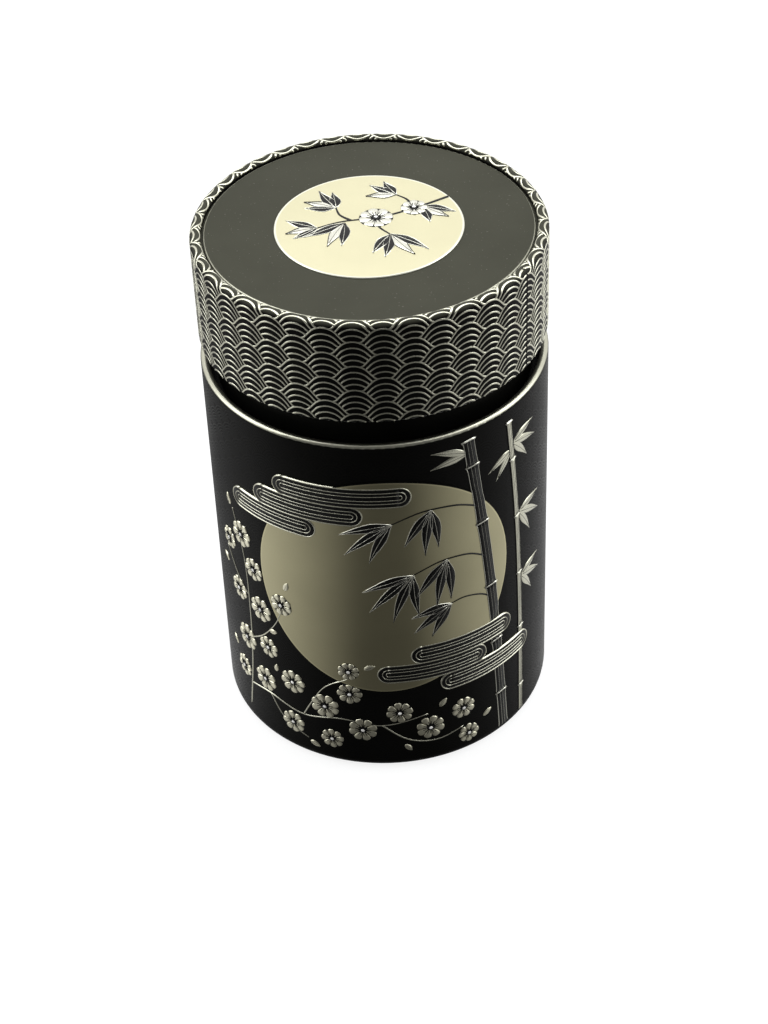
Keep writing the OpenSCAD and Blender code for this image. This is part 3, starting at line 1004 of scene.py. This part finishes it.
# The leafy spray on the lid, with one silver leaf in each tuft
crest = Relief("lid_design", Top(), "outer_lid", "panel_lacquer")
for stem in (((18.0, 10.5), (11, 6.6), (3, 3.2), (-6, 1.8), (-11.5, -0.4)),
             ((9.5, 5.8), (9.0, 9.6), (6.4, 12.2)), ((1.5, 2.8), (2.2, -1.0), (4.6, -4.2)),
             ((-4, 2.2), (-6.4, 4.6), (-7.2, 7.6))):
    sprig(crest, stem, 0.9, "black")
for root, angles, length in (((-11.5, -0.4), (158, 190, 222), 7.8),
                             ((-7.2, 7.6), (122, 152, 182, 92), 8.4),
                             ((4.6, -4.2), (-34, -64, -94, -124), 10.6),
                             ((6.4, 12.2), (148, 176, 120), 7.4),
                             ((-5.4, 1.2), (-146, -118, -90), 10.8), ((12.0, 6.8), (-16, -44, -72), 8.0)):
    for i, angle in enumerate(angles):
        blade, line = ("silver", "black") if i == 1 else ("black", "silver")
        leaf(crest, root, math.radians(angle), length * (1 - LID_LEAF_SHORTER * i), LID_LEAF_W,
             LID_LEAF_BEND if i % 2 else -LID_LEAF_BEND, blade, line, line, height=LID_LEAF_H)
for middle, radius, turn in (((1.6, 2.8), 3.8, 0.2), ((10.2, 6.4), 3.0, 0.0)):
    blossom(crest, middle, radius, turn, finish="silver")
crest.make(finishes)

# ---------------------------------------------------------------------------
# Studio: floor, world, lamps and camera

FLOOR_HALF = 3.0
FLOOR_PALE = 0.25
FLOOR_GLOW = 0.85
FLOOR_GLOW_FROM, FLOOR_GLOW_FULL = 0.3, 0.8

# The floor in the tin's gloss, by the angle from the front
FLOOR_DARK, FLOOR_BRIGHT = 0.095, 0.86
FLOOR_DARK_TO, FLOOR_BRIGHT_FROM = math.radians(15), math.radians(82)
FLOOR_LEFT_BACK = 0.5
FLOOR_LEFT_FROM, FLOOR_LEFT_TO = math.radians(88), math.radians(122)
FLOOR_UNDER = 0.35

WORLD_FRONT = (("From Min", -0.62), ("From Max", 0.25), ("To Min", 0.11), ("To Max", 1.12))
WORLD_DIFFUSE_LESS = 0.62
SEEN = {"Is Camera Ray": 1.0, "Is Transmission Ray": 1.0}

# Watts for each square metre of a lamp whose face has radiance 1
LAMP_WATTS = 4
LAMP_TINT = (0.96, 0.985, 1.0)
# Name, place, target, size and radiance
LAMPS = (("left_box", (-0.6, 0.05, 0.45), (0, 0, 0.06), (0.45, 0.8), 1.6),
         ("right_box", (0.6, 0.05, 0.45), (0, 0, 0.06), (0.45, 0.8), 1.7),
         ("top_box", (0.0, 0.20, 0.82), (0, 0, 0.08), (0.9, 0.6), 2.1))


def light_path_sum(tree, weights):
    """A weighted sum of the Light Path outputs."""
    path = tree.nodes.new("ShaderNodeLightPath")
    total = None
    for output, weight in weights.items():
        node = tree.nodes.new("ShaderNodeMath")
        node.operation = "MULTIPLY_ADD"
        tree.links.new(path.outputs[output], node.inputs[0])
        node.inputs[1].default_value = weight
        node.inputs[2].default_value = 0.0
        if total is not None:
            tree.links.new(total, node.inputs[2])
        total = node.outputs[0]
    return total


def make_floor():
    """Pale paper that looks white to the camera and keeps the tin's shadow. From below it is clear.

    In the tin's own gloss it is dark in front, where the photographer stands, bright at the sides, less
    so behind on the left, and even under the tin.
    """
    mesh = bpy.data.meshes.new("floor")
    corners = [(FLOOR_HALF * x, FLOOR_HALF * y, 0) for x, y in ((-1, -1), (1, -1), (1, 1), (-1, 1))]
    mesh.from_pydata(corners, [], [(0, 1, 2, 3)])
    floor = bpy.data.objects.new("floor", mesh)
    bpy.context.scene.collection.objects.link(floor)
    n = Nodes("floor_paper")
    n.tree.nodes.remove(n.shader)
    _, x, y, _, radial = n.where()
    aside = n.math("ARCTAN2", n.math("ABSOLUTE", x), n.math("MULTIPLY", y, -1.0))
    paper = n.new("ShaderNodeBsdfDiffuse")
    paper.inputs["Color"].default_value = rgb(FLOOR_PALE, FLOOR_PALE, FLOOR_PALE)
    glow = n.new("ShaderNodeEmission")
    n.feed(glow.inputs["Strength"],
           n.math("MULTIPLY", light_path_sum(n.tree, SEEN),
                  n.span(radial, FLOOR_GLOW_FROM, FLOOR_GLOW_FULL, FLOOR_GLOW, 1.0)))
    seen = n.new("ShaderNodeAddShader")
    mirrored = n.new("ShaderNodeEmission")
    around = n.span(aside, FLOOR_DARK_TO, FLOOR_BRIGHT_FROM, FLOOR_DARK, FLOOR_BRIGHT)
    dim_left = n.mix_value(n.math("LESS_THAN", x, 0.0), 1.0,
                           n.span(aside, FLOOR_LEFT_FROM, FLOOR_LEFT_TO, 1.0, FLOOR_LEFT_BACK))
    n.feed(mirrored.inputs["Strength"], n.mix_value(n.math("LESS_THAN", radial, BODY_R),
                                                    n.math("MULTIPLY", around, dim_left), FLOOR_UNDER))
    choice = n.new("ShaderNodeMixShader")
    n.feed(choice.inputs[0], light_path_sum(n.tree, {"Is Glossy Ray": 1.0}))
    clear = n.new("ShaderNodeBsdfTransparent")
    from_below = n.new("ShaderNodeMixShader")
    n.feed(from_below.inputs[0], n.math("MULTIPLY", n.new("ShaderNodeNewGeometry").outputs["Backfacing"],
                                        light_path_sum(n.tree, {"Is Camera Ray": 1.0})))
    for shader, socket in ((paper, seen.inputs[0]), (glow, seen.inputs[1]), (seen, choice.inputs[1]),
                           (mirrored, choice.inputs[2]), (choice, from_below.inputs[1]),
                           (clear, from_below.inputs[2]), (from_below, n.out.inputs[0])):
        n.tree.links.new(shader.outputs[0], socket)
    mesh.materials.append(n.material)


def make_world():
    """White to the camera and in glass; for gloss, a studio that is bright behind, above and beside."""
    world = bpy.data.worlds.new("studio")
    bpy.context.scene.world = world
    world.use_nodes = True
    tree = world.node_tree
    tree.nodes.clear()
    background = tree.nodes.new("ShaderNodeBackground")
    background.inputs["Color"].default_value = rgb(1.0, 1.0, 1.0)
    out = tree.nodes.new("ShaderNodeOutputWorld")
    direction = tree.nodes.new("ShaderNodeTexCoord")
    split = tree.nodes.new("ShaderNodeSeparateXYZ")
    tree.links.new(direction.outputs["Generated"], split.inputs[0])
    front = tree.nodes.new("ShaderNodeMapRange")
    front.interpolation_type = "SMOOTHSTEP"
    for key, number in WORLD_FRONT:
        front.inputs[key].default_value = number
    tree.links.new(split.outputs[1], front.inputs["Value"])
    level = tree.nodes.new("ShaderNodeMath")
    level.operation = "SUBTRACT"
    level.inputs[0].default_value = 1.0
    tree.links.new(light_path_sum(tree, {"Is Diffuse Ray": WORLD_DIFFUSE_LESS}), level.inputs[1])
    mixed = tree.nodes.new("ShaderNodeMix")
    mixed.data_type = "FLOAT"
    tree.links.new(light_path_sum(tree, {**SEEN, "Is Diffuse Ray": 1.0}), mixed.inputs[0])
    tree.links.new(front.outputs["Result"], mixed.inputs[2])
    tree.links.new(level.outputs[0], mixed.inputs[3])
    tree.links.new(mixed.outputs[0], background.inputs["Strength"])
    tree.links.new(background.outputs[0], out.inputs[0])


def soft_box(name, place, target, size, radiance):
    """A rectangular lamp whose face is as bright as radiance, where 1 is the white of the backdrop."""
    light = bpy.data.lights.new(name, "AREA")
    light.shape = "RECTANGLE"
    light.size, light.size_y = size
    light.energy = radiance * LAMP_WATTS * size[0] * size[1]
    light.color = LAMP_TINT
    lamp = bpy.data.objects.new(name, light)
    lamp.location = place
    lamp.rotation_mode = "QUATERNION"
    lamp.rotation_quaternion = (Vector(target) - Vector(place)).to_track_quat("-Z", "Y")
    bpy.context.scene.collection.objects.link(lamp)


def make_camera():
    """A long lens, half a metre away and 38 degrees above the table."""
    focal_px, frame_px, sensor = 2290.6, 1024.0, 36.0
    elevation, distance = math.radians(38.29), 0.55081
    roll, pan, tilt = -0.044, -0.001, 0.017
    aim = Vector((0, 0, 0.060))
    forward = Vector((0, math.cos(elevation), -math.sin(elevation)))
    up = Vector((0, math.sin(elevation), math.cos(elevation)))
    right = Vector((1, 0, 0))
    turn = Matrix.Rotation(roll, 3, "Z") @ Matrix.Rotation(tilt, 3, "X") @ Matrix.Rotation(pan, 3, "Y")
    rows = turn @ Matrix((right, -up, forward))
    camera_data = bpy.data.cameras.new("camera")
    camera_data.sensor_fit = "VERTICAL"
    camera_data.sensor_width = sensor
    camera_data.sensor_height = sensor
    camera_data.lens = focal_px / frame_px * sensor
    camera = bpy.data.objects.new("camera", camera_data)
    camera.rotation_mode = "QUATERNION"
    camera.rotation_quaternion = Matrix((rows[0], -rows[1], -rows[2])).transposed().to_quaternion()
    camera.location = aim - forward * distance
    bpy.context.scene.collection.objects.link(camera)
    bpy.context.scene.camera = camera


make_floor()
make_world()
for lamp_setting in LAMPS:
    soft_box(*lamp_setting)
make_camera()

bpy.context.scene.view_settings.view_transform = "Standard"
